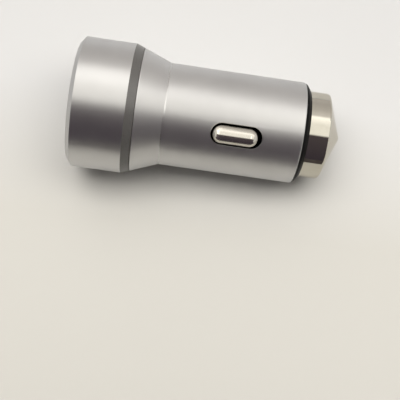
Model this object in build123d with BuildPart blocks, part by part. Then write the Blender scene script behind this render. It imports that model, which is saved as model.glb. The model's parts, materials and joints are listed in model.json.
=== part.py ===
import os
from math import hypot, sqrt

from build123d import *

# A two-port charging plug for a vehicle's round power socket. It stands on its front rim at z = 0 with the
# point at the top. One ground contact faces -Y and the other +Y. Lengths are in millimetres.

# Outside, from the front rim to the point
head_diameter = 26.2
head_length = 10.9
head_chamfer_length = 0.9
head_chamfer_depth = 1.2
band_length = 1.65
neck_length = 5.65
neck_blend = 0.8
barrel_diameter = 20.6
barrel_length = 27.15
barrel_chamfer = 0.1
collar_length = 1.2
collar_lip = 0.1
collar_round = 0.5
collar_wall = 0.5
tip_length = 4.0
tip_round = 0.5
point_height = 3.4
point_flat = 0.3

# Walls, and the gaps between pieces that fit one inside another
head_wall = 1.2
rim_width = 1.0
rim_length = 1.4
rim_chamfer = 0.25
ring_wall = 0.9
ring_front_spigot = 1.6
ring_rear_spigot = 0.7
ring_rear_wall = 0.45
barrel_wall = 0.9
neck_bore_lead = 1.0
carrier_wall = 1.1
slip_gap = 0.1
seam_round = 0.2

# Ground contacts
contact_length = 9.32
contact_width = 3.92
contact_stand = 1.0
contact_dome = 1.9
contact_side_gap = 0.215
contact_end_gap = 0.18
slot_extra = 0.36
slot_chamfer = 0.12
flange_end_lap = 0.48
flange_side_lap = 0.725
flange_thickness = 0.5
flange_seat_gap = 0.09
window_gap = 0.25
window_bridge = 0.73
spigot_diameter = 3.0
spigot_length = 0.8
ground_coil_diameter = 4.0
ground_wire = 0.45
ground_turns = 4.5

# Tip, its spring and the cup they slide in
tip_guide = 2.25
stem_diameter = 5.0
stem_tail = 0.7
tip_travel = 2.0
hub_diameter = 8.6
pocket_diameter = 12.4
pocket_depth = 2.0
cup_depth = 6.25
cup_bottom = 1.5
tip_coil_diameter = 10.4
tip_wire = 0.7
tip_turns = 3
clip_thickness = 0.6
clip_diameter = 8.0
clip_mouth = 3.4
clip_groove_depth = 0.5
clip_gap = 0.05
terminal_thickness = 0.4
terminal_diameter = 13.6
terminal_bore = 6.4
tail_width = 1.6
tail_clearance = 0.4
tail_lap = 2.0
tail_gap = 0.1

# Face plate and charging sockets
plate_recess = 0.35
plate_thickness = 1.6
port_width = 12.5
port_height = 5.12
port_corner = 0.35
port_gap = 0.12
socket_gap = 0.12
port_chamfer = 0.3
shell_sheet = 0.3
shell_length = 13.0
shell_recess = 0.25
finger_width = 2.0
finger_length = 5.5
finger_slit = 0.35
finger_spread = 3.4
finger_from_mouth = 3.2
tongue_width = 11.1
tongue_thickness = 1.84
tongue_shift = 0.92
tongue_recess = 1.1
tongue_chamfer = 0.35
block_length = 2.6
block_gap = 0.05
pin_positions = (-3.5, -1.0, 1.0, 3.5)
pin_leads = (0.4, 1.2, 1.2, 0.4)
pin_width = 1.0
pin_thickness = 0.2
pin_drop = 0.4
pin_foot = 1.1

# Circuit board and what it carries
board_thickness = 1.6
board_front = 4.0
board_edge_gap = 0.4
board_wide_lead = 0.6
board_end_gap = 0.3
board_corner = 0.8
board_gap = 0.05
part_gap = 0.3
rail_width = 1.0
rail_height = 1.2
rail_lead = 1.8
inductor_diameter = 6.8
inductor_tall = 4.6
inductor_flange = 0.8
inductor_hub = 3.0
winding_diameter = 6.0
winding_gap = 0.1
winding_chamfer = 0.4
can_diameter = 6.3
can_length = 7.6
can_edge = 0.4
can_groove_depth = 0.35
can_groove_width = 0.7
can_groove_start = 0.9
vent_width = 0.3
vent_length = 3.6
vent_depth = 0.15
lead_width = 0.5
lead_spread = 2.5
lead_length = 0.9
block_capacitor = (6.0, 2.5, 3.2)
diode = (1.6, 1.1, 2.7)
diode_gap = 1.0
diode_tab_width = 0.9
diode_tab = 0.5
chip = (3.9, 1.45, 4.9)
chip_stand = 0.1
leg_pitch = 1.27
leg_count = 4
leg_width = 0.42
leg_sheet = 0.2
leg_reach = 1.05
leg_level = 0.7
small_part = (1.25, 0.8, 2.0)
socket_part_gap = 0.8
socket_part_steps = (2.0, 5.0, 8.0)
chip_part_gap = 1.4
chip_part_step = 1.3

# Heights and radii that follow from the sizes above
neck_start = head_length + band_length
barrel_start = neck_start + neck_length
barrel_end = barrel_start + barrel_length
collar_end = barrel_end + collar_length
tip_edge = collar_end + tip_length
point_end = tip_edge + point_height
head_radius = head_diameter / 2
barrel_radius = barrel_diameter / 2
neck_slope = (head_radius - barrel_radius) / (band_length + neck_length)
neck_radius = head_radius - neck_slope * band_length
sleeve_bore = head_radius - head_wall
rim_bore = head_radius - head_chamfer_depth - rim_width
barrel_bore = barrel_radius - barrel_wall
collar_spigot = barrel_bore - slip_gap / 2
cup_bore = collar_spigot - collar_wall
tip_radius = cup_bore - slip_gap
stem_radius = stem_diameter / 2

# Charging sockets, on both faces of the board, and the bores around them
plate_back = rim_length + plate_thickness
board_face = board_thickness / 2
shell_width = port_width + 2 * shell_sheet
shell_height = port_height + 2 * shell_sheet
shell_mouth = plate_recess + shell_recess
shell_end = shell_mouth + shell_length
port_middle = board_face + shell_height / 2
tongue_start = shell_mouth + tongue_recess
tongue_middle = port_middle + tongue_shift
pin_face = tongue_middle - tongue_thickness / 2
block_start = shell_end - block_length
socket_bore = hypot(shell_width / 2, board_face + shell_height) + socket_gap
ring_bore = sleeve_bore - ring_wall
ring_start = head_length - ring_front_spigot
neck_counterbore = ring_bore + ring_rear_wall + slip_gap
counterbore_end = neck_start + ring_rear_spigot + slip_gap / 2
neck_bore_end = barrel_start - neck_bore_lead
carrier_radius = barrel_bore - slip_gap
core_bore = carrier_radius - carrier_wall

# The tip's cup, then the ground contacts below it
cup_floor = collar_end - cup_depth
carrier_end = cup_floor - cup_bottom
tip_back = collar_end - tip_guide
stem_end = carrier_end - clip_thickness - stem_tail
slot_length = contact_length + 2 * contact_end_gap + slot_extra
slot_width = contact_width + 2 * contact_side_gap
flange_length = slot_length + 2 * flange_end_lap
flange_width = slot_width + 2 * flange_side_lap
window_length = flange_length + 2 * window_gap
contact_height = carrier_end - window_bridge - window_length / 2
flange_top = sqrt(barrel_bore**2 - (flange_width / 2) ** 2) - flange_seat_gap
flange_bottom = flange_top - flange_thickness

# The board runs up to the tip's stem, and its parts stand below the ground springs
board_end = stem_end - tip_travel - board_end_gap
board_wide = socket_bore - board_edge_gap
board_narrow = core_bore - board_edge_gap
spring_low = contact_height - (ground_coil_diameter + ground_wire) / 2
chip_start = spring_low - part_gap - chip[2]
chip_height = chip_start + chip[2] / 2
inductor_height = chip_start - part_gap - inductor_diameter / 2
diode_offset = inductor_diameter / 2 + diode_gap + diode[0] / 2
block_capacitor_start = spring_low - part_gap - block_capacitor[2]
can_end = block_capacitor_start - part_gap
can_start = can_end - can_length
can_middle = board_face + can_diameter / 2
tail_offset = clip_diameter / 2 + tail_clearance + tail_width / 2
front = -1
rear = 1


def turn(points, centre=0, mode=Mode.ADD):
    """Adds a turned form from (radius, height) points, about an upright axis at y = centre."""
    with BuildSketch(Plane(origin=(0, centre, 0), x_dir=(1, 0, 0), z_dir=(0, -1, 0))) as profile:
        with BuildLine():
            Polyline(*points, close=True)
        make_face()
    revolve(profile.sketch, axis=Axis((0, centre, 0), (0, 0, 1)), mode=mode)


def outward(side, reach, height):
    """A plane that faces -Y or +Y, with its own x axis along the plug."""
    return Plane(origin=(0, side * reach, height), x_dir=(0, 0, 1), z_dir=(0, side, 0))


def board_side(side):
    """A frame whose own y axis leads away from the board, towards -Y or +Y."""
    return Plane(origin=(0, 0, 0), x_dir=(side, 0, 0), z_dir=(0, 0, 1))


def bar(size, low, mode=Mode.ADD):
    """Adds a bar from the middle of its low face in y and z, in the frame at hand."""
    with Locations(low):
        Box(*size, align=(Align.CENTER, Align.MIN, Align.MIN), mode=mode)


def coil(base, coil_diameter, wire, turns, height):
    """A coil spring that stands on a plane, with both ends ground flat."""
    with BuildPart() as spring:
        with BuildLine() as path:
            Helix(height / turns, height, coil_diameter / 2, center=base.origin, direction=base.z_dir)
        with BuildSketch(Plane(path.line @ 0, z_dir=path.line % 0)):
            RegularPolygon(wire / 2, 6)
        sweep(path=path.line, is_frenet=True)
        split(bisect_by=base.offset(height), keep=Keep.BOTTOM)
        split(bisect_by=base, keep=Keep.TOP)
    return spring


with BuildPart() as head_sleeve:
    turn((
        (rim_bore + rim_chamfer, 0),
        (head_radius - head_chamfer_depth, 0),
        (head_radius, head_chamfer_length),
        (head_radius, head_length),
        (sleeve_bore, head_length),
        (sleeve_bore, rim_length),
        (rim_bore, rim_length),
        (rim_bore, rim_chamfer),
    ))

with BuildPart() as trim_ring:
    turn((
        (ring_bore, ring_start),
        (sleeve_bore - slip_gap, ring_start),
        (sleeve_bore - slip_gap, head_length),
        (head_radius, head_length),
        (neck_radius, neck_start),
        (neck_counterbore - slip_gap, neck_start),
        (neck_counterbore - slip_gap, neck_start + ring_rear_spigot),
        (ring_bore, neck_start + ring_rear_spigot),
    ))

# The neck cone and the barrel are one turned shell, with a pill-shaped slot in each side
with BuildPart() as barrel_shell:
    turn((
        (neck_counterbore, neck_start),
        (neck_radius, neck_start),
        (barrel_radius, barrel_start),
        (barrel_radius, barrel_end - barrel_chamfer),
        (barrel_radius - barrel_chamfer, barrel_end),
        (barrel_bore, barrel_end),
        (barrel_bore, neck_bore_end),
        (ring_bore, counterbore_end),
        (neck_counterbore, counterbore_end),
    ))
    rims = barrel_shell.edges().filter_by(GeomType.CIRCLE)
    crease = rims.filter_by_position(Axis.Z, barrel_start, barrel_start)
    seam = rims.filter_by_position(Axis.Z, neck_start, neck_start).sort_by(SortBy.RADIUS)[-1]
    fillet(crease, neck_blend)
    fillet(seam, seam_round)
    for side in (front, rear):
        with BuildSketch(outward(side, barrel_bore / 2, contact_height + slot_extra / 2)):
            SlotOverall(slot_length, slot_width)
        extrude(amount=barrel_radius, mode=Mode.SUBTRACT)
    cylinders = barrel_shell.faces().filter_by(GeomType.CYLINDER)
    barrel_face = cylinders.sort_by(lambda face: abs(face.radius - barrel_radius))[0]
    chamfer(barrel_face.inner_wires().edges(), slot_chamfer)

with BuildPart() as face_plate:
    turn((
        (0, plate_recess),
        (rim_bore - slip_gap, plate_recess),
        (rim_bore - slip_gap, rim_length),
        (sleeve_bore - slip_gap, rim_length),
        (sleeve_bore - slip_gap, plate_back),
        (0, plate_back),
    ))
    with BuildSketch():
        with Locations((0, -port_middle), (0, port_middle)):
            RectangleRounded(shell_width + 2 * port_gap, shell_height + 2 * port_gap, port_corner + shell_sheet)
    extrude(amount=plate_back, mode=Mode.SUBTRACT)
    plate_face = face_plate.faces().sort_by(Axis.Z)[0]
    chamfer(plate_face.inner_wires().edges(), port_chamfer)

# The carrier steps down with the head, the trim ring and the barrel, and has rails for the board's edges
with BuildPart() as core_carrier:
    rail_start = neck_bore_end + rail_lead
    turn((
        (socket_bore, plate_back),
        (sleeve_bore - slip_gap, plate_back),
        (sleeve_bore - slip_gap, ring_start),
        (ring_bore - slip_gap, ring_start),
        (ring_bore - slip_gap, counterbore_end),
        (carrier_radius, neck_bore_end),
        (carrier_radius, carrier_end),
        (core_bore, carrier_end),
        (core_bore, neck_bore_end),
        (socket_bore, shell_end + slip_gap),
    ))
    for side in (front, rear):
        for end in (-1, 1):
            rail_low = board_face + board_gap if side == rear else -board_face - board_gap - rail_height
            bar(
                (rail_width, rail_height, carrier_end - rail_start),
                (end * (core_bore - rail_width / 2), rail_low, rail_start),
            )
        with BuildSketch(outward(side, core_bore / 2, contact_height)):
            SlotOverall(window_length, flange_width + 2 * window_gap)
        extrude(amount=barrel_bore, mode=Mode.SUBTRACT)

with BuildPart() as circuit_board:
    with BuildSketch(Plane.XZ):
        with BuildLine():
            half_outline = (
                (board_wide - board_corner, board_front),
                (board_wide, board_front + board_corner),
                (board_wide, shell_end - board_wide_lead),
                (board_narrow, neck_bore_end),
                (board_narrow, board_end - board_corner),
                (board_narrow - board_corner, board_end),
            )
            other_half = [(-x, z) for x, z in reversed(half_outline)]
            Polyline(*half_outline, *other_half, close=True)
        make_face()
    extrude(amount=board_face, both=True)


def usb_shell(side):
    """A folded sheet shell with two spring fingers in its outer wall."""
    outer_wall = port_middle + port_height / 2
    finger_start = shell_mouth + finger_from_mouth
    with BuildPart(board_side(side)) as shell:
        with BuildSketch(board_side(side).offset(shell_mouth)):
            with Locations((0, port_middle)):
                RectangleRounded(shell_width, shell_height, port_corner + shell_sheet)
                RectangleRounded(port_width, port_height, port_corner, mode=Mode.SUBTRACT)
        extrude(amount=shell_length)
        for spread in (-finger_spread, finger_spread):
            for edge in (-finger_width / 2, finger_width / 2):
                slit = (finger_slit, 2 * shell_sheet, finger_length)
                bar(slit, (spread + edge, outer_wall - shell_sheet / 2, finger_start), Mode.SUBTRACT)
            end_slit = (finger_width + finger_slit, 2 * shell_sheet, finger_slit)
            end_low = (spread, outer_wall - shell_sheet / 2, finger_start + finger_length)
            bar(end_slit, end_low, Mode.SUBTRACT)
    return shell


def usb_tongue(side):
    """The plastic tongue, with the block at its root that the pins pass through."""
    root_size = (port_width - 2 * block_gap, port_height - 2 * block_gap)
    with BuildPart(board_side(side)) as tongue:
        bar(
            (tongue_width, tongue_thickness, block_start - tongue_start),
            (0, tongue_middle - tongue_thickness / 2, tongue_start),
        )
        chamfer(tongue.faces().sort_by(Axis.Z)[0].edges(), tongue_chamfer)
        with BuildSketch(board_side(side).offset(block_start)):
            with Locations((0, port_middle)):
                RectangleRounded(*root_size, port_corner)
        extrude(amount=block_length)
        for x in pin_positions:
            bar((pin_width, pin_thickness, block_length), (x, pin_face - pin_thickness, block_start), Mode.SUBTRACT)
    return tongue


def usb_pins(side):
    """Four flat pins that lie on the tongue, with tails down to the board."""
    with BuildPart(board_side(side)) as pins:
        for x, lead in zip(pin_positions, pin_leads):
            pin_start = tongue_start + lead
            drop_end = shell_end + pin_drop
            bar((pin_width, pin_thickness, drop_end - pin_start), (x, pin_face - pin_thickness, pin_start))
            bar((pin_width, pin_face - board_face, pin_thickness), (x, board_face, drop_end - pin_thickness))
            bar((pin_width, pin_thickness, pin_foot), (x, board_face, drop_end - pin_thickness))
    return pins


usb_shell_front = usb_shell(front)
usb_shell_rear = usb_shell(rear)
usb_tongue_front = usb_tongue(front)
usb_tongue_rear = usb_tongue(rear)
usb_pins_front = usb_pins(front)
usb_pins_rear = usb_pins(rear)

with BuildPart() as inductor_core:
    with BuildSketch(outward(front, board_face, inductor_height)):
        Circle(inductor_hub / 2)
    extrude(amount=inductor_tall)
    for start in (0, inductor_tall - inductor_flange):
        with BuildSketch(outward(front, board_face + start, inductor_height)):
            Circle(inductor_diameter / 2)
        extrude(amount=inductor_flange)

with BuildPart() as inductor_winding:
    with BuildSketch(outward(front, board_face + inductor_flange + winding_gap, inductor_height)):
        Circle(winding_diameter / 2)
        Circle(inductor_hub / 2 + winding_gap, mode=Mode.SUBTRACT)
    extrude(amount=inductor_tall - 2 * (inductor_flange + winding_gap))
    outer_edges = inductor_winding.edges().filter_by(GeomType.CIRCLE).sort_by(SortBy.RADIUS)[-2:]
    chamfer(outer_edges, winding_chamfer)

# The can lies on the rear of the board, with its grooved end towards the head
with BuildPart() as input_capacitor:
    can_radius = can_diameter / 2
    groove_end = can_start + can_groove_start + can_groove_width
    turn((
        (0, can_start),
        (can_radius - can_edge, can_start),
        (can_radius, can_start + can_edge),
        (can_radius, can_start + can_groove_start),
        (can_radius - can_groove_depth, can_start + can_groove_start + can_groove_width / 2),
        (can_radius, groove_end),
        (can_radius, can_end - can_edge),
        (can_radius - can_edge, can_end),
        (0, can_end),
    ), centre=can_middle)
    for vent in ((vent_length, vent_width), (vent_width, vent_length)):
        bar((*vent, vent_depth), (0, can_middle - vent[1] / 2, can_end - vent_depth), Mode.SUBTRACT)

with BuildPart() as output_capacitor:
    bar(block_capacitor, (0, board_face, block_capacitor_start))
    chamfer(output_capacitor.edges().group_by(Axis.Y)[-1], leg_sheet)

with BuildPart(board_side(front)) as power_diode:
    bar(diode, (diode_offset, board_face, inductor_height - diode[2] / 2))
    chamfer(power_diode.edges().group_by(Axis.Y)[0], leg_sheet)

with BuildPart(board_side(front)) as switching_chip:
    bar(chip, (0, board_face + chip_stand, chip_start))
    chamfer(switching_chip.edges().group_by(Axis.Y)[0], leg_sheet)

# Chip legs, diode tabs and capacitor leads, all tinned
with BuildPart(board_side(front)) as component_legs:
    foot = leg_reach / 2
    for row in range(leg_count):
        leg_low = chip_height + (row - (leg_count - 1) / 2) * leg_pitch - leg_width / 2
        for end in (-1, 1):
            knee = end * (chip[0] / 2 + foot / 2)
            toe = end * (chip[0] / 2 + leg_reach / 2 + foot / 2)
            fall = end * (chip[0] / 2 + foot)
            bar((foot, leg_sheet, leg_width), (knee, board_face + leg_level, leg_low))
            bar((leg_sheet, leg_level + leg_sheet, leg_width), (fall, board_face, leg_low))
            bar((foot, leg_sheet, leg_width), (toe, board_face, leg_low))
    for tab_low in (inductor_height - diode[2] / 2 - diode_tab, inductor_height + diode[2] / 2):
        bar((diode_tab_width, leg_sheet, diode_tab), (diode_offset, board_face, tab_low))
    for spread in (-lead_spread / 2, lead_spread / 2):
        lead_low = can_start - lead_length
        bar((lead_width, lead_width, lead_length), (spread, -can_middle - lead_width / 2, lead_low))
        bar((lead_width, can_middle - board_face, lead_width), (spread, -can_middle, lead_low))

# Small chip parts beside the sockets, on both faces, and beside the chip
with BuildPart() as small_parts:
    socket_part_x = shell_width / 2 + socket_part_gap + small_part[0] / 2
    chip_part_x = chip[0] / 2 + leg_reach + chip_part_gap + small_part[0] / 2
    under_board = -board_face - small_part[1]
    for end in (-1, 1):
        for step in socket_part_steps:
            for low in (board_face, under_board):
                bar(small_part, (end * socket_part_x, low, board_front + step - small_part[2] / 2))
        for step in (-chip_part_step, chip_part_step):
            bar(small_part, (end * chip_part_x, under_board, chip_height + step - small_part[2] / 2))


def ground_contact(side):
    """A domed pill that comes out through the barrel's slot, on a flange that stays inside."""
    with BuildPart() as contact:
        with BuildSketch(outward(side, flange_bottom, contact_height)):
            SlotOverall(contact_length, contact_width)
        extrude(amount=barrel_radius + contact_stand - flange_bottom)
        crest = contact.faces().sort_by(Axis((0, 0, 0), (0, side, 0)))[-1]
        fillet(crest.edges(), contact_dome)
        with BuildSketch(outward(side, flange_bottom, contact_height)):
            SlotOverall(flange_length, flange_width)
        extrude(amount=flange_thickness)
        with BuildSketch(outward(side, flange_bottom, contact_height)):
            Circle(spigot_diameter / 2)
        extrude(amount=-spigot_length)
    return contact


def ground_spring(side):
    """A coil between the board and the contact's flange."""
    base = outward(side, board_face, contact_height)
    return coil(base, ground_coil_diameter, ground_wire, ground_turns, flange_bottom - board_face)


ground_contact_front = ground_contact(front)
ground_contact_rear = ground_contact(rear)
ground_spring_front = ground_spring(front)
ground_spring_rear = ground_spring(rear)

# The black shoulder is the rim of a cup that the tip slides in
with BuildPart() as nose_collar:
    turn((
        (stem_radius + slip_gap, carrier_end),
        (collar_spigot, carrier_end),
        (collar_spigot, barrel_end),
        (barrel_radius - barrel_chamfer, barrel_end),
        (barrel_radius - barrel_chamfer - collar_round / 2, barrel_end + collar_round),
        (cup_bore + collar_lip, collar_end),
        (cup_bore, collar_end),
        (cup_bore, cup_floor),
        (stem_radius + slip_gap, cup_floor),
    ))
    bar(
        (tail_width + 2 * tail_gap, terminal_thickness + 2 * tail_gap, cup_bottom),
        (tail_offset, board_face - tail_gap, carrier_end),
        Mode.SUBTRACT,
    )

with BuildPart() as nose_tip:
    turn((
        (0, point_end),
        (point_flat, point_end),
        (tip_radius, tip_edge),
        (tip_radius, tip_back),
        (pocket_diameter / 2, tip_back),
        (pocket_diameter / 2, tip_back + pocket_depth),
        (hub_diameter / 2, tip_back + pocket_depth),
        (hub_diameter / 2, tip_back),
        (stem_radius, tip_back),
        (stem_radius, carrier_end),
        (stem_radius - clip_groove_depth, carrier_end),
        (stem_radius - clip_groove_depth, carrier_end - clip_thickness),
        (stem_radius, carrier_end - clip_thickness),
        (stem_radius, stem_end),
        (0, stem_end),
    ))
    shoulder = nose_tip.edges().filter_by(GeomType.CIRCLE).filter_by_position(Axis.Z, tip_edge, tip_edge)
    fillet(shoulder, tip_round)

with BuildPart() as positive_terminal:
    turn((
        (terminal_bore / 2, cup_floor),
        (terminal_diameter / 2, cup_floor),
        (terminal_diameter / 2, cup_floor + terminal_thickness),
        (terminal_bore / 2, cup_floor + terminal_thickness),
    ))
    bar(
        (tail_width, terminal_thickness, cup_floor - board_end + tail_lap),
        (tail_offset, board_face, board_end - tail_lap),
    )

with BuildPart() as tip_clip:
    clip_bore = stem_radius - clip_groove_depth + clip_gap
    turn((
        (clip_bore, carrier_end - clip_thickness),
        (clip_diameter / 2, carrier_end - clip_thickness),
        (clip_diameter / 2, carrier_end),
        (clip_bore, carrier_end),
    ))
    bar((clip_mouth, clip_diameter, clip_thickness), (0, 0, carrier_end - clip_thickness), Mode.SUBTRACT)

spring_seat = cup_floor + terminal_thickness
tip_spring = coil(
    Plane.XY.offset(spring_seat),
    tip_coil_diameter,
    tip_wire,
    tip_turns,
    tip_back + pocket_depth - spring_seat,
)

pieces = {
    "head_sleeve": head_sleeve,
    "trim_ring": trim_ring,
    "barrel_shell": barrel_shell,
    "face_plate": face_plate,
    "core_carrier": core_carrier,
    "circuit_board": circuit_board,
    "usb_shell_front": usb_shell_front,
    "usb_shell_rear": usb_shell_rear,
    "usb_tongue_front": usb_tongue_front,
    "usb_tongue_rear": usb_tongue_rear,
    "usb_pins_front": usb_pins_front,
    "usb_pins_rear": usb_pins_rear,
    "inductor_core": inductor_core,
    "inductor_winding": inductor_winding,
    "input_capacitor": input_capacitor,
    "output_capacitor": output_capacitor,
    "power_diode": power_diode,
    "switching_chip": switching_chip,
    "component_legs": component_legs,
    "small_parts": small_parts,
    "ground_contact_front": ground_contact_front,
    "ground_contact_rear": ground_contact_rear,
    "ground_spring_front": ground_spring_front,
    "ground_spring_rear": ground_spring_rear,
    "nose_collar": nose_collar,
    "nose_tip": nose_tip,
    "tip_spring": tip_spring,
    "positive_terminal": positive_terminal,
    "tip_clip": tip_clip,
}
os.makedirs("parts", exist_ok=True)
for name, piece in pieces.items():
    piece.part.label = name
    export_step(piece.part, f"parts/{name}.step")
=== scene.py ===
import json
from math import cos, radians, sin, tan, tau

import bmesh
import bpy
from mathutils import Matrix, Vector


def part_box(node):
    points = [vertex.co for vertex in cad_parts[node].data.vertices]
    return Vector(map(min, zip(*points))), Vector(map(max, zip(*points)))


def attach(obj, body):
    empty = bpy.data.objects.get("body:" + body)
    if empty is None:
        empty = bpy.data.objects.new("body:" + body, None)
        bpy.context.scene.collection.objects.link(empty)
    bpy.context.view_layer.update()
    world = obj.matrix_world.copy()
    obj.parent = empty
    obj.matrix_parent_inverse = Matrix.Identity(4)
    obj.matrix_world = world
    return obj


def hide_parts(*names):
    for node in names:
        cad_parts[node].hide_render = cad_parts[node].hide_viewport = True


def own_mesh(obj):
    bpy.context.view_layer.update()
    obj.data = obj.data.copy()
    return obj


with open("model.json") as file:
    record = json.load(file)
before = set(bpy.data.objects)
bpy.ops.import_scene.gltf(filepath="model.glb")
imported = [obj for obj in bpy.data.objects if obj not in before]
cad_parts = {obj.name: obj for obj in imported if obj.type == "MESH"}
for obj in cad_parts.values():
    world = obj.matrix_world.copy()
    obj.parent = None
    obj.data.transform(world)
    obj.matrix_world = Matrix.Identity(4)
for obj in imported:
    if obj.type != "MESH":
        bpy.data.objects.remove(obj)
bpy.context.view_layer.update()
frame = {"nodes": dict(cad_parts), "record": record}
print("frame loaded:", len(frame["nodes"]), "CAD nodes")


# Small helpers for node materials. The two spans say which part of a value's range is spread over the
# two colours and over the two roughness values
colourSpan = (0.3, 0.7)
roughSpan = (0.25, 0.75)


def startMaterial(name, metal, rough, colour):
    made = bpy.data.materials.new(name)
    made.use_nodes = True
    shader = made.node_tree.nodes["Principled BSDF"]
    shader.inputs["Metallic"].default_value = metal
    shader.inputs["Roughness"].default_value = rough
    shader.inputs["Base Color"].default_value = (*colour, 1)
    return made, made.node_tree, shader


def grain(tree, scale=1, stretch=(1, 1, 1), detail=2):
    place = tree.nodes.new("ShaderNodeTexCoord")
    mapping = tree.nodes.new("ShaderNodeMapping")
    texture = tree.nodes.new("ShaderNodeTexNoise")
    mapping.inputs["Scale"].default_value = stretch
    texture.inputs["Scale"].default_value = scale
    texture.inputs["Detail"].default_value = detail
    tree.links.new(place.outputs["Object"], mapping.inputs["Vector"])
    tree.links.new(mapping.outputs["Vector"], texture.inputs["Vector"])
    return texture.outputs["Fac"]


def shades(tree, value, low, high):
    ramp = tree.nodes.new("ShaderNodeValToRGB")
    for stop, position, colour in zip(ramp.color_ramp.elements, colourSpan, (low, high)):
        stop.position = position
        stop.color = (*colour, 1)
    tree.links.new(value, ramp.inputs["Fac"])
    return ramp.outputs["Color"]


# 1 where a point is nearer to the origin than the limit, measured only along the axes that are kept
def depthMask(tree, keptAxes, limit):
    place = tree.nodes.new("ShaderNodeTexCoord")
    kept = tree.nodes.new("ShaderNodeVectorMath")
    kept.operation = "MULTIPLY"
    kept.inputs[1].default_value = keptAxes
    reach = tree.nodes.new("ShaderNodeVectorMath")
    reach.operation = "LENGTH"
    below = tree.nodes.new("ShaderNodeMath")
    below.operation = "LESS_THAN"
    below.inputs[1].default_value = limit
    tree.links.new(place.outputs["Object"], kept.inputs[0])
    tree.links.new(kept.outputs["Vector"], reach.inputs[0])
    tree.links.new(reach.outputs["Value"], below.inputs[0])
    return below.outputs["Value"]


def darken(tree, mask, bright, dark):
    mixed = tree.nodes.new("ShaderNodeMix")
    mixed.data_type = "RGBA"
    colourIn = [socket for socket in mixed.inputs if socket.type == "RGBA"]
    colourIn[1].default_value = (*dark, 1)
    tree.links.new(mask, mixed.inputs["Factor"])
    tree.links.new(bright, colourIn[0])
    colourOut = [socket for socket in mixed.outputs if socket.type == "RGBA"]
    return colourOut[0]


def spread(tree, value, low, high, socket):
    span = tree.nodes.new("ShaderNodeMapRange")
    span.inputs["From Min"].default_value = roughSpan[0]
    span.inputs["From Max"].default_value = roughSpan[1]
    span.inputs["To Min"].default_value = low
    span.inputs["To Max"].default_value = high
    tree.links.new(value, span.inputs["Value"])
    tree.links.new(span.outputs["Result"], socket)


def relief(tree, value, depth, shader):
    bump = tree.nodes.new("ShaderNodeBump")
    bump.inputs["Strength"].default_value = 1
    bump.inputs["Distance"].default_value = depth
    tree.links.new(value, bump.inputs["Height"])
    tree.links.new(bump.outputs["Normal"], shader.inputs["Normal"])


# Smoother metal in a narrow band at one height along the axis
def burnish(tree, height, halfBand, share, shader):
    place = tree.nodes.new("ShaderNodeTexCoord")
    split = tree.nodes.new("ShaderNodeSeparateXYZ")
    near = tree.nodes.new("ShaderNodeMath")
    near.operation = "COMPARE"
    near.inputs[1].default_value = height
    near.inputs[2].default_value = halfBand
    factor = tree.nodes.new("ShaderNodeMapRange")
    factor.inputs["To Min"].default_value = 1
    factor.inputs["To Max"].default_value = share
    scaled = tree.nodes.new("ShaderNodeMath")
    scaled.operation = "MULTIPLY"
    rough = shader.inputs["Roughness"].links[0].from_socket
    tree.links.new(place.outputs["Object"], split.inputs["Vector"])
    tree.links.new(split.outputs["Z"], near.inputs[0])
    tree.links.new(near.outputs["Value"], factor.inputs["Value"])
    tree.links.new(rough, scaled.inputs[0])
    tree.links.new(factor.outputs["Result"], scaled.inputs[1])
    tree.links.new(scaled.outputs["Value"], shader.inputs["Roughness"])


# Satin aluminium with fine turned lines round the axis, burnished at the crease between neck and barrel
satin = {
    "dark": (0.645, 0.645, 0.65),
    "pale": (0.69, 0.69, 0.695),
    "inside": (0.008, 0.008, 0.008),    # bore and slot walls, painted black as the shade in the gap
    "insideRadius": 0.0101,
    "rim": (0.53, 0.53, 0.53),          # the cut chamfer at the front, painted darker as shade for its dimmer reflection
    "rimDepth": 0.00088,
    "roughHead": (0.275, 0.295),
    "roughBarrel": (0.33, 0.36),
    "lineStretch": (60, 60, 9000),
    "lineDetail": 3,
    "lineDepth": 0.00000025,
    "cloudScale": 160,
    "anisotropy": 0.45,
    "edgeTint": (0.87, 0.87, 0.88),
    "creaseHalf": 0.00015,
    "creaseShare": 0.8,
}


def satinAluminium(name, rough, creaseHeight=None):
    made, tree, shader = startMaterial(name, 1, rough[0], satin["pale"])
    lines = grain(tree, stretch=satin["lineStretch"], detail=satin["lineDetail"])
    clouds = grain(tree, satin["cloudScale"])
    bright = shades(tree, clouds, satin["dark"], satin["pale"])
    # Painted shade: the front chamfer, within this depth of the front plane, gets a darker colour
    rim = depthMask(tree, (0, 0, 1), satin["rimDepth"])
    # Painted shade: black nearer the axis than the barrel's surface, over the bore and slot walls
    inside = depthMask(tree, (1, 1, 0), satin["insideRadius"])
    toned = darken(tree, rim, bright, satin["rim"])
    tree.links.new(darken(tree, inside, toned, satin["inside"]), shader.inputs["Base Color"])
    spread(tree, lines, *rough, shader.inputs["Roughness"])
    if creaseHeight:
        burnish(tree, creaseHeight, satin["creaseHalf"], satin["creaseShare"], shader)
    relief(tree, lines, satin["lineDepth"], shader)
    around = tree.nodes.new("ShaderNodeTangent")
    around.direction_type = "RADIAL"
    around.axis = "Z"
    tree.links.new(around.outputs["Tangent"], shader.inputs["Tangent"])
    shader.inputs["Anisotropic"].default_value = satin["anisotropy"]
    shader.inputs["Specular Tint"].default_value = (*satin["edgeTint"], 1)
    return made


# Polished nickel: warm on the tip, paler on the ground contacts, which get painted shade, black below the
# barrel's surface, for the dark gap round them
tipNickel = {
    "name": "tipNickel",
    "dark": (0.645, 0.622, 0.55),
    "pale": (0.67, 0.646, 0.575),
    "rough": (0.05, 0.08),
    "insideReach": None,
}
contactNickel = {
    "name": "contactNickel",
    "dark": (0.67, 0.645, 0.587),
    "pale": (0.695, 0.668, 0.61),
    "rough": (0.14, 0.18),
    "insideReach": 0.0089,
}
nickelPaintedShade = (0.006, 0.006, 0.006)
nickelHaze = 900
nickelEdgeTint = (0.78, 0.76, 0.73)


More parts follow.
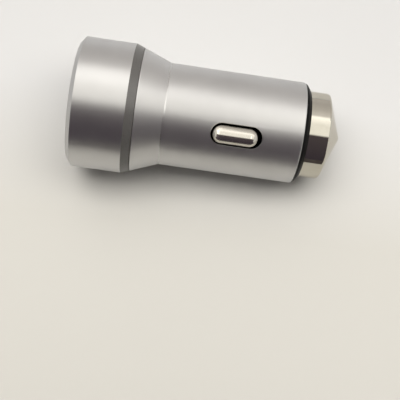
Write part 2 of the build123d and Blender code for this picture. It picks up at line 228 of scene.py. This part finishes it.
def polishedNickel(look):
    made, tree, shader = startMaterial(look["name"], 1, look["rough"][0], look["pale"])
    haze = grain(tree, nickelHaze)
    bright = shades(tree, haze, look["dark"], look["pale"])
    # Painted shade: black nearer the axis than this, for the gap round the contact
    if look["insideReach"]:
        inside = depthMask(tree, (0, 1, 0), look["insideReach"])
        bright = darken(tree, inside, bright, nickelPaintedShade)
    tree.links.new(bright, shader.inputs["Base Color"])
    spread(tree, haze, *look["rough"], shader.inputs["Roughness"])
    shader.inputs["Specular Tint"].default_value = (*nickelEdgeTint, 1)
    return made


def dress(tree, shader, texture, look):
    colour = shades(tree, texture, look["dark"], look["pale"])
    tree.links.new(colour, shader.inputs["Base Color"])
    spread(tree, texture, *look["rough"], shader.inputs["Roughness"])
    relief(tree, texture, look["depth"], shader)


# Plastics, ferrite and the board, each with a fine moulded grain
plastics = {
    "dark_trim": {
        "name": "darkTrim", "dark": (0.076, 0.074, 0.071), "pale": (0.092, 0.089, 0.086),
        "rough": (0.27, 0.34), "scale": 5200, "depth": 0.000002, "specular": 0.8,
    },
    "black_plastic": {
        "name": "blackPlastic", "dark": (0.003, 0.003, 0.0033), "pale": (0.006, 0.006, 0.0064),
        "rough": (0.38, 0.5), "scale": 4200, "depth": 0.000003, "specular": 0.08,
    },
    "inner_plastic": {
        "name": "innerPlastic", "dark": (0.04, 0.04, 0.043), "pale": (0.06, 0.06, 0.064),
        "rough": (0.5, 0.62), "scale": 3600, "depth": 0.000004, "specular": 0.4,
    },
    "tongue_plastic": {
        "name": "tonguePlastic", "dark": (0.76, 0.76, 0.74), "pale": (0.84, 0.84, 0.82),
        "rough": (0.42, 0.55), "scale": 3000, "depth": 0.000003, "specular": 0.5,
    },
    "component_body": {
        "name": "componentBody", "dark": (0.02, 0.02, 0.021), "pale": (0.04, 0.04, 0.041),
        "rough": (0.5, 0.66), "scale": 6500, "depth": 0.000005, "specular": 0.4,
    },
    "capacitor_block": {
        "name": "capacitorBlock", "dark": (0.48, 0.32, 0.08), "pale": (0.6, 0.42, 0.12),
        "rough": (0.4, 0.55), "scale": 4800, "depth": 0.000004, "specular": 0.5,
    },
    "ferrite": {
        "name": "ferrite", "dark": (0.055, 0.055, 0.06), "pale": (0.11, 0.11, 0.115),
        "rough": (0.6, 0.8), "scale": 7000, "depth": 0.000008, "specular": 0.4,
    },
    "board_laminate": {
        "name": "boardLaminate", "dark": (0.018, 0.12, 0.055), "pale": (0.04, 0.2, 0.1),
        "rough": (0.3, 0.42), "scale": 1400, "depth": 0.000006, "specular": 0.5,
    },
}


def plasticFinish(look):
    made, tree, shader = startMaterial(look["name"], 0, look["rough"][0], look["pale"])
    dress(tree, shader, grain(tree, look["scale"]), look)
    shader.inputs["Specular IOR Level"].default_value = look["specular"]
    return made


# Inner metals, each drawn out along its own direction
metals = {
    "socket_steel": {
        "name": "socketSteel", "dark": (0.56, 0.56, 0.55), "pale": (0.66, 0.66, 0.65),
        "rough": (0.22, 0.34), "stretch": (2600, 2600, 160), "depth": 0.000001,
    },
    "gold_plate": {
        "name": "goldPlate", "dark": (0.74, 0.53, 0.2), "pale": (0.86, 0.65, 0.3),
        "rough": (0.16, 0.26), "stretch": (3000, 3000, 300), "depth": 0.000001,
    },
    "copper_wire": {
        "name": "copperWire", "dark": (0.52, 0.2, 0.07), "pale": (0.68, 0.32, 0.15),
        "rough": (0.2, 0.32), "stretch": (900, 4000, 900), "depth": 0.000001,
    },
    "capacitor_can": {
        "name": "capacitorCan", "dark": (0.5, 0.51, 0.53), "pale": (0.6, 0.61, 0.63),
        "rough": (0.28, 0.4), "stretch": (2200, 2200, 180), "depth": 0.000001,
    },
    "tin_plate": {
        "name": "tinPlate", "dark": (0.58, 0.58, 0.57), "pale": (0.7, 0.7, 0.69),
        "rough": (0.3, 0.45), "stretch": (2500, 2500, 2500), "depth": 0.000002,
    },
    "spring_steel": {
        "name": "springSteel", "dark": (0.43, 0.43, 0.43), "pale": (0.55, 0.55, 0.55),
        "rough": (0.2, 0.32), "stretch": (1800, 1800, 1800), "depth": 0.000001,
    },
}


def metalFinish(look):
    made, tree, shader = startMaterial(look["name"], 1, look["rough"][0], look["pale"])
    dress(tree, shader, grain(tree, stretch=look["stretch"]), look)
    return made


finishes = {
    "satin_aluminium": satinAluminium("satinHead", satin["roughHead"]),
    "polished_nickel": polishedNickel(tipNickel),
}
contactFinish = polishedNickel(contactNickel)
barrelMount = [mount for mount in frame["record"]["mounts"] if mount["name"] == "socket_barrel"][0]
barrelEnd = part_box("barrel_shell")[1].z
barrelStart = barrelEnd - barrelMount["dims"]["length_mm"] / 1000
barrelFinish = satinAluminium("satinBarrel", satin["roughBarrel"], barrelStart)
for slotName, look in plastics.items():
    finishes[slotName] = plasticFinish(look)
for slotName, look in metals.items():
    finishes[slotName] = metalFinish(look)

slotOf = {part["node"]: part["material_slot"] for part in frame["record"]["subparts"]}
for nodeName, slotName in slotOf.items():
    finish = barrelFinish if nodeName == "barrel_shell" else finishes[slotName]
    for held in frame["nodes"][nodeName].material_slots:
        held.material = finish
print("finishes:", len(finishes), "slots on", len(slotOf), "nodes")


# Coils of round wire: two ground springs, the tip spring and the inductor's winding

def buildCoilTree():
    tree = bpy.data.node_groups.new("coilOfWire", "GeometryNodeTree")
    for name in ("Turns", "Coil Radius", "Height", "Wire Radius"):
        tree.interface.new_socket(name, in_out="INPUT", socket_type="NodeSocketFloat")
    for name in ("Seat", "Lean"):
        tree.interface.new_socket(name, in_out="INPUT", socket_type="NodeSocketVector")
    for name in ("Steps", "Sides"):
        tree.interface.new_socket(name, in_out="INPUT", socket_type="NodeSocketInt")
    tree.interface.new_socket("Wire", in_out="INPUT", socket_type="NodeSocketMaterial")
    tree.interface.new_socket("Geometry", in_out="OUTPUT", socket_type="NodeSocketGeometry")
    given = tree.nodes.new("NodeGroupInput")
    path = tree.nodes.new("GeometryNodeCurveSpiral")
    section = tree.nodes.new("GeometryNodeCurvePrimitiveCircle")
    tube = tree.nodes.new("GeometryNodeCurveToMesh")
    tube.inputs["Fill Caps"].default_value = True
    smooth = tree.nodes.new("GeometryNodeSetShadeSmooth")
    placed = tree.nodes.new("GeometryNodeTransform")
    real = tree.nodes.new("GeometryNodeRealizeInstances")
    dressed = tree.nodes.new("GeometryNodeSetMaterial")
    result = tree.nodes.new("NodeGroupOutput")
    join = tree.links.new
    join(given.outputs["Turns"], path.inputs["Rotations"])
    join(given.outputs["Coil Radius"], path.inputs["Start Radius"])
    join(given.outputs["Coil Radius"], path.inputs["End Radius"])
    join(given.outputs["Height"], path.inputs["Height"])
    join(given.outputs["Steps"], path.inputs["Resolution"])
    join(given.outputs["Sides"], section.inputs["Resolution"])
    join(given.outputs["Wire Radius"], section.inputs["Radius"])
    join(path.outputs["Curve"], tube.inputs["Curve"])
    join(section.outputs["Curve"], tube.inputs["Profile Curve"])
    join(tube.outputs["Mesh"], smooth.inputs["Geometry"])
    join(smooth.outputs["Geometry"], placed.inputs["Geometry"])
    join(given.outputs["Seat"], placed.inputs["Translation"])
    join(given.outputs["Lean"], placed.inputs["Rotation"])
    join(placed.outputs["Geometry"], real.inputs["Geometry"])
    join(real.outputs["Geometry"], dressed.inputs["Geometry"])
    join(given.outputs["Wire"], dressed.inputs["Material"])
    join(dressed.outputs["Geometry"], result.inputs["Geometry"])
    return tree


coilTree = buildCoilTree()


def makeCoil(name, sizes):
    coil = bpy.data.objects.new(name, bpy.data.meshes.new(name))
    bpy.context.scene.collection.objects.link(coil)
    wound = coil.modifiers.new("coil", "NODES")
    wound.node_group = coilTree
    for socket in coilTree.interface.items_tree:
        if socket.in_out == "INPUT":
            wound[socket.identifier] = sizes[socket.name]
    shaped = coil.evaluated_get(bpy.context.evaluated_depsgraph_get())
    mesh = bpy.data.meshes.new_from_object(shaped)
    coil.modifiers.remove(wound)
    coil.data = mesh
    return coil


groundSpring = {
    "wire": 0.00045,
    "turns": 5.5,
    "pressed": 0.001,
    "steps": 40,            # along the wire, for each turn
    "sides": 10,
}


def groundSprings():
    for name, side, joint in (("Front", -1, "ground_front_press"), ("Rear", 1, "ground_rear_press")):
        node = "ground_spring_" + name.lower()
        low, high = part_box(node)
        middle = (low + high) / 2
        length = high.y - low.y
        seat = Vector((0, low.y if side > 0 else high.y, middle.z))
        wire = groundSpring["wire"] / 2
        coil = makeCoil("groundSpring" + name, {
            "Turns": groundSpring["turns"],
            "Coil Radius": (high.x - low.x) / 2 - wire,
            "Height": length - 2 * wire,
            "Wire Radius": wire,
            "Seat": seat + Vector((0, side * wire, 0)),
            "Lean": (-side * tau / 4, 0, 0),
            "Steps": groundSpring["steps"],
            "Sides": groundSpring["sides"],
            "Wire": finishes["spring_steel"],
        })
        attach(coil, "plug")
        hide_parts(node)
        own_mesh(coil)


tipSpring = {
    "wire": 0.0007,
    "turns": 3.5,
    "pressed": 0.002,
    "steps": 64,
    "sides": 12,
}


def tipSpringCoil():
    low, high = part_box("tip_spring")
    wire = tipSpring["wire"] / 2
    length = high.z - low.z
    seat = Vector((0, 0, low.z))
    coil = makeCoil("tipSpring", {
        "Turns": tipSpring["turns"],
        "Coil Radius": (high.x - low.x) / 2 - wire,
        "Height": length - 2 * wire,
        "Wire Radius": wire,
        "Seat": seat + Vector((0, 0, wire)),
        "Lean": (0, 0, 0),
        "Steps": tipSpring["steps"],
        "Sides": tipSpring["sides"],
        "Wire": finishes["spring_steel"],
    })
    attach(coil, "plug")
    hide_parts("tip_spring")
    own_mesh(coil)


winding = {
    "wire": 0.00035,
    "layers": 4,
    "steps": 40,
    "sides": 8,
}


def inductorWinding():
    low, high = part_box("inductor_winding")
    wire = winding["wire"] / 2
    outer = (high.x - low.x) / 2
    height = high.y - low.y
    middle = (low + high) / 2
    layers = []
    for layer in range(winding["layers"]):
        layers.append(makeCoil("windingLayer", {
            "Turns": (height - 2 * wire) / winding["wire"],
            "Coil Radius": outer - wire - layer * winding["wire"],
            "Height": height - 2 * wire,
            "Wire Radius": wire,
            "Seat": Vector((0, high.y - wire, middle.z)),
            "Lean": (tau / 4, 0, 0),
            "Steps": winding["steps"],
            "Sides": winding["sides"],
            "Wire": finishes["copper_wire"],
        }))
    whole = bmesh.new()
    for layer in layers:
        whole.from_mesh(layer.data)
    mesh = bpy.data.meshes.new("inductorWinding")
    whole.to_mesh(mesh)
    whole.free()
    mesh.materials.append(finishes["copper_wire"])
    coil = bpy.data.objects.new("inductorWinding", mesh)
    bpy.context.scene.collection.objects.link(coil)
    for layer in layers:
        bpy.data.objects.remove(layer)
    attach(coil, "plug")
    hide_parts("inductor_winding")


groundSprings()
tipSpringCoil()
inductorWinding()
print("coils wound")


# The ground contacts: a low domed pill on a flange with a spigot. The front one's crown slopes, as it sits
# a little turned in its slot
groundContact = {
    "length": 0.00932,
    "width": 0.00388,
    "crown": 0.00195,       # from the crest down to the upright wall
    "tilt": {"Front": 12, "Rear": 0},
    "aside": {"Front": -0.00006, "Rear": 0},
    "flange": 0.0005,
    "spigotRadius": 0.0015,
    "spigot": 0.0008,
    "domeRings": 20,
    "endSteps": 32,
    "sharpAngle": 40,
    "merge": 0.0000005,
}


# One closed ring of points round a pill: half its straight run, its end radius and its height from the axis
def pillRing(run, radius, height, slope, side, centre):
    points = []
    for end in (1, -1):
        for step in range(groundContact["endSteps"] + 1):
            turn = tau / 2 * step / groundContact["endSteps"]
            across = end * radius * cos(turn)
            along = end * (run + radius * sin(turn))
            points.append((centre.x + across, side * (height + slope * across), centre.z + along))
    return points


def contactRings(side, low, high, slope, aside):
    crest, inner = sorted((abs(low.y), abs(high.y)), reverse=True)
    middle = (low + high) / 2
    pillMiddle = middle + Vector((aside, 0, 0))
    radius = groundContact["width"] / 2
    run = groundContact["length"] / 2 - radius
    flangeRadius = (high.x - low.x) / 2
    flangeRun = (high.z - low.z) / 2 - flangeRadius
    flangeBottom = inner + groundContact["spigot"]
    flangeTop = flangeBottom + groundContact["flange"]
    rings = []
    for ring in range(groundContact["domeRings"] + 1):
        fall = tau / 4 * ring / groundContact["domeRings"]
        height = crest - groundContact["crown"] * (1 - cos(fall))
        rings.append(pillRing(run, radius * sin(fall), height, slope, side, pillMiddle))
    rings.append(pillRing(run, radius, flangeTop, 0, side, pillMiddle))
    for size in (
        (flangeRun, flangeRadius, flangeTop),
        (flangeRun, flangeRadius, flangeBottom),
        (0, groundContact["spigotRadius"], flangeBottom),
        (0, groundContact["spigotRadius"], inner),
    ):
        rings.append(pillRing(*size, 0, side, middle))
    return rings


def groundContacts():
    for name, side in (("Front", -1), ("Rear", 1)):
        node = "ground_contact_" + name.lower()
        slope = tan(radians(groundContact["tilt"][name]))
        shaped = bmesh.new()
        rings = []
        for ring in contactRings(side, *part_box(node), slope, groundContact["aside"][name]):
            rings.append([shaped.verts.new(point) for point in ring])
        for upper, lower in zip(rings, rings[1:]):
            for place in range(len(upper)):
                shaped.faces.new((upper[place - 1], upper[place], lower[place], lower[place - 1]))
        shaped.faces.new(rings[-1])
        bmesh.ops.remove_doubles(shaped, verts=shaped.verts, dist=groundContact["merge"])
        bmesh.ops.recalc_face_normals(shaped, faces=shaped.faces)
        mesh = bpy.data.meshes.new("groundContact" + name)
        shaped.to_mesh(mesh)
        shaped.free()
        mesh.shade_smooth()
        mesh.set_sharp_from_angle(angle=radians(groundContact["sharpAngle"]))
        mesh.materials.append(contactFinish)
        contact = bpy.data.objects.new("groundContact" + name, mesh)
        bpy.context.scene.collection.objects.link(contact)
        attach(contact, "ground_" + name.lower())
        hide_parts(node)


groundContacts()
print("ground contacts shaped")


# The pale paper that the plug lies on, touching the head's rear edge and the barrel's end
paper = {
    "roll": 34.9,           # degrees round the axis, from -Y towards -X, to the paper's up side
    "half": 0.6,
    "pale": (0.572, 0.577, 0.583),
    # painted shade: a darker paper colour on the camera's side, for light falling off there
    "shadedTone": (0.497, 0.489, 0.455),
    "shadeFade": (0.05, -0.06),  # from pale to the painted shade, across the plug
    "rough": 0.45,
    "gloss": 1,
}
# A low dark card stands on the paper beside the plug, out of the camera's sight, where the metal mirrors it
blackCard = {"away": 0.078, "tall": 0.016, "half": 0.5, "rough": 0.9, "colour": (0.08, 0.07, 0.072)}


def flatSheet(name, corners, towards):
    mesh = bpy.data.meshes.new(name)
    mesh.from_pydata(corners, [], [(0, 1, 2, 3)])
    if mesh.polygons[0].normal.dot(towards) < 0:
        mesh.flip_normals()
    sheet = bpy.data.objects.new(name, mesh)
    bpy.context.scene.collection.objects.link(sheet)
    return sheet


# The paper darkens across the plug towards the camera's side, a painted shade. From below, the camera sees
# through it
def paperFinish(across):
    made, tree, shader = startMaterial("palePaper", 0, paper["rough"], paper["pale"])
    shader.inputs["Specular IOR Level"].default_value = paper["gloss"]
    place = tree.nodes.new("ShaderNodeTexCoord")
    measure = tree.nodes.new("ShaderNodeVectorMath")
    measure.operation = "DOT_PRODUCT"
    measure.inputs[1].default_value = across
    shadeFade = tree.nodes.new("ShaderNodeMapRange")
    shadeFade.interpolation_type = "SMOOTHSTEP"
    shadeFade.inputs["From Min"].default_value = paper["shadeFade"][0]
    shadeFade.inputs["From Max"].default_value = paper["shadeFade"][1]
    tone = shades(tree, shadeFade.outputs["Result"], paper["pale"], paper["shadedTone"])
    clear = tree.nodes.new("ShaderNodeBsdfTransparent")
    mixed = tree.nodes.new("ShaderNodeMixShader")
    rays = tree.nodes.new("ShaderNodeLightPath")
    sides = tree.nodes.new("ShaderNodeNewGeometry")
    both = tree.nodes.new("ShaderNodeMath")
    both.operation = "MULTIPLY"
    tree.links.new(place.outputs["Object"], measure.inputs[0])
    tree.links.new(measure.outputs["Value"], shadeFade.inputs["Value"])
    tree.links.new(tone, shader.inputs["Base Color"])
    tree.links.new(rays.outputs["Is Camera Ray"], both.inputs[0])
    tree.links.new(sides.outputs["Backfacing"], both.inputs[1])
    tree.links.new(both.outputs["Value"], mixed.inputs["Fac"])
    tree.links.new(shader.outputs["BSDF"], mixed.inputs[1])
    tree.links.new(clear.outputs["BSDF"], mixed.inputs[2])
    tree.links.new(mixed.outputs["Shader"], tree.nodes["Material Output"].inputs["Surface"])
    return made


def layPaper():
    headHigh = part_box("head_sleeve")[1]
    barrelRadius = barrelMount["dims"]["r_mm"] / 1000
    upSide = Vector((-sin(radians(paper["roll"])), -cos(radians(paper["roll"])), 0))
    headTouch = Vector((0, 0, headHigh.z)) - upSide * headHigh.x
    barrelTouch = Vector((0, 0, barrelEnd)) - upSide * barrelRadius
    along = (barrelTouch - headTouch).normalized()
    across = along.cross(upSide).normalized()
    if across.x > 0:
        across = -across
    half = paper["half"]
    corners = []
    for end, side in ((-1, -1), (1, -1), (1, 1), (-1, 1)):
        corners.append(headTouch + along * half * end + across * half * side)
    sheet = flatSheet("palePaper", corners, upSide)
    sheet.data.materials.append(paperFinish(across))
    foot = headTouch - across * blackCard["away"]
    reach = along * blackCard["half"]
    top = upSide * blackCard["tall"]
    corners = [foot - reach, foot + reach, foot + reach + top, foot - reach + top]
    card = flatSheet("blackCard", corners, across)
    card.data.materials.append(startMaterial("blackCard", 0, blackCard["rough"], blackCard["colour"])[0])
    card.visible_camera = False


# A light tent round the plug's axis, out of the camera's sight. Its zones go by the angle round the axis,
# in degrees from the camera side, positive towards -X
tent = {
    "cameraSide": 12.9,
    "radius": 0.8,
    "half": 1.0,
    "lit": (-0.45, 0.4),                # the ends past these heights show in metal, but light nothing matt
    "from": -75,
    "to": 119,
    "steps": 48,
    "headGlow": (-0.12, -0.5, 1.6),     # the tent is brighter beyond the head: from, to and strength
    "zones": (
        (119, (0.62, 0.59, 0.56)),
        (92, (0.53, 0.497, 0.465)),
        (72, (0.62, 0.585, 0.545)),
        (54, (0.86, 0.82, 0.77)),
        (49, (1.68, 1.63, 1.53)),
        (42, (1.52, 1.47, 1.38)),
        (29, (1.18, 1.14, 1.05)),
        (3, (1.20, 1.16, 1.07)),
        (-1, (0.085, 0.069, 0.074)),
        (-60, (0.054, 0.043, 0.053)),
    ),
}


def aroundAxis(degrees, radius, height):
    turn = radians(tent["cameraSide"] + degrees)
    return Vector((-sin(turn) * radius, -cos(turn) * radius, height))


def tentBand(name, low, high, made):
    mesh = bpy.data.meshes.new(name)
    points = []
    faces = []
    for step in range(tent["steps"] + 1):
        degrees = tent["from"] + (tent["to"] - tent["from"]) * step / tent["steps"]
        points.append(aroundAxis(degrees, tent["radius"], low))
        points.append(aroundAxis(degrees, tent["radius"], high))
        if step:
            faces.append((2 * step - 2, 2 * step - 1, 2 * step + 1, 2 * step))
    mesh.from_pydata(points, [], faces)
    mesh.materials.append(made)
    cloth = bpy.data.objects.new(name, mesh)
    bpy.context.scene.collection.objects.link(cloth)
    cloth.visible_camera = False
    return cloth


def pitchTent():
    made = bpy.data.materials.new("lightTent")
    made.use_nodes = True
    tree = made.node_tree
    tree.nodes.remove(tree.nodes["Principled BSDF"])
    glow = tree.nodes.new("ShaderNodeEmission")
    place = tree.nodes.new("ShaderNodeTexCoord")
    turned = tree.nodes.new("ShaderNodeMapping")
    turned.inputs["Rotation"].default_value = (0, 0, tau / 4 + radians(tent["cameraSide"]))
    angle = tree.nodes.new("ShaderNodeTexGradient")
    angle.gradient_type = "RADIAL"
    ramp = tree.nodes.new("ShaderNodeValToRGB")
    stops = ramp.color_ramp.elements
    while len(stops) < len(tent["zones"]):
        stops.new(1)
    for stop, (degrees, colour) in zip(stops, tent["zones"]):
        stop.position = 0.5 - degrees / 360
        stop.color = (*colour, 1)
    split = tree.nodes.new("ShaderNodeSeparateXYZ")
    along = tree.nodes.new("ShaderNodeMapRange")
    along.interpolation_type = "SMOOTHSTEP"
    along.inputs["From Min"].default_value = tent["headGlow"][0]
    along.inputs["From Max"].default_value = tent["headGlow"][1]
    along.inputs["To Min"].default_value = 1
    along.inputs["To Max"].default_value = tent["headGlow"][2]
    tree.links.new(place.outputs["Object"], split.inputs["Vector"])
    tree.links.new(split.outputs["Z"], along.inputs["Value"])
    tree.links.new(along.outputs["Result"], glow.inputs["Strength"])
    tree.links.new(place.outputs["Object"], turned.inputs["Vector"])
    tree.links.new(turned.outputs["Vector"], angle.inputs["Vector"])
    tree.links.new(angle.outputs["Fac"], ramp.inputs["Fac"])
    tree.links.new(ramp.outputs["Color"], glow.inputs["Color"])
    tree.links.new(glow.outputs["Emission"], tree.nodes["Material Output"].inputs["Surface"])
    headEnd, tipEnd = tent["lit"]
    tentBand("lightTent", headEnd, tipEnd, made)
    tentBand("tentHeadEnd", -tent["half"], headEnd, made).visible_diffuse = False
    tentBand("tentTipEnd", tipEnd, tent["half"], made).visible_diffuse = False


# Two glowing panels before the tent: one beyond the tip, which the crease between neck and barrel picks up,
# and one over the head
panels = (
    {
        "name": "panelBeyondTip", "angle": 16, "halfAngle": 12,
        "heights": (0.17, 0.26), "colour": (2.5, 2.43, 2.26),
    },
    {
        "name": "panelOverHead", "angle": 55, "halfAngle": 10,
        "heights": (-0.30, 0.05), "colour": (1.5, 1.45, 1.36),
    },
)
panelReach = 0.5


def hangPanel(panel):
    corners = []
    for side, end in ((-1, 0), (1, 0), (1, 1), (-1, 1)):
        degrees = panel["angle"] + side * panel["halfAngle"]
        corners.append(aroundAxis(degrees, panelReach, panel["heights"][end]))
    sheet = flatSheet(panel["name"], corners, -corners[0])
    made, _, shader = startMaterial(panel["name"], 0, 1, (0, 0, 0))
    shader.inputs["Emission Color"].default_value = (*panel["colour"], 1)
    shader.inputs["Emission Strength"].default_value = 1
    sheet.data.materials.append(made)
    sheet.visible_camera = False


# One strip lamp along the plug gives the shadow its edge
stripLamp = {
    "angle": 23.2,
    "reach": 0.33,
    "middle": 0.02,
    "wide": 0.165,
    "long": 0.6,
    "power": 1.35,
    "colour": (1, 0.97, 0.93),
}


def hangLamp():
    light = bpy.data.lights.new("stripLamp", "AREA")
    light.shape = "RECTANGLE"
    light.size = stripLamp["wide"]
    light.size_y = stripLamp["long"]
    light.energy = stripLamp["power"]
    light.color = stripLamp["colour"]
    lamp = bpy.data.objects.new("stripLamp", light)
    bpy.context.scene.collection.objects.link(lamp)
    lamp.location = aroundAxis(stripLamp["angle"], stripLamp["reach"], stripLamp["middle"])
    aim = Vector((0, 0, stripLamp["middle"])) - lamp.location
    lamp.rotation_euler = aim.to_track_quat("-Z", "Y").to_euler()
    lamp.visible_camera = False
    lamp.visible_glossy = False


# Past the tent's ends the camera and the metal see a pale room, which gives off little light itself
backdrop = {"seen": (0.74, 0.72, 0.69), "given": (0.2, 0.195, 0.187)}


def paintBackdrop():
    world = bpy.data.worlds.new("backdrop")
    world.use_nodes = True
    tree = world.node_tree
    seen = tree.nodes["Background"]
    seen.inputs["Color"].default_value = (*backdrop["seen"], 1)
    given = tree.nodes.new("ShaderNodeBackground")
    given.inputs["Color"].default_value = (*backdrop["given"], 1)
    rays = tree.nodes.new("ShaderNodeLightPath")
    either = tree.nodes.new("ShaderNodeMath")
    either.operation = "MAXIMUM"
    mixed = tree.nodes.new("ShaderNodeMixShader")
    tree.links.new(rays.outputs["Is Camera Ray"], either.inputs[0])
    tree.links.new(rays.outputs["Is Glossy Ray"], either.inputs[1])
    tree.links.new(either.outputs["Value"], mixed.inputs["Fac"])
    tree.links.new(given.outputs["Background"], mixed.inputs[1])
    tree.links.new(seen.outputs["Background"], mixed.inputs[2])
    tree.links.new(mixed.outputs["Shader"], tree.nodes["World Output"].inputs["Surface"])
    bpy.context.scene.world = world


# The camera looks down on the plug, with the tip to the right and a little lower
photoCamera = {
    "place": (-0.036572, -0.159275, 0.020996),
    "forward": (0.3199, 0.94656, 0.04112),
    "right": (-0.14502, 0.00603, 0.98941),
    "lens": 71.909,
    "sensor": 36,
    "nearest": 0.005,
}


def setCamera():
    camera = bpy.data.objects.new("camera", bpy.data.cameras.new("camera"))
    bpy.context.scene.collection.objects.link(camera)
    camera.data.lens = photoCamera["lens"]
    camera.data.sensor_width = photoCamera["sensor"]
    camera.data.clip_start = photoCamera["nearest"]
    back = -Vector(photoCamera["forward"]).normalized()
    up = back.cross(Vector(photoCamera["right"])).normalized()
    right = up.cross(back)
    turn = Matrix((right, up, back)).transposed().to_4x4()
    camera.matrix_world = Matrix.Translation(photoCamera["place"]) @ turn
    bpy.context.scene.camera = camera


layPaper()
pitchTent()
for panel in panels:
    hangPanel(panel)
hangLamp()
paintBackdrop()
setCamera()
bpy.context.scene.view_settings.view_transform = "Standard"
print("stage, light and camera set")
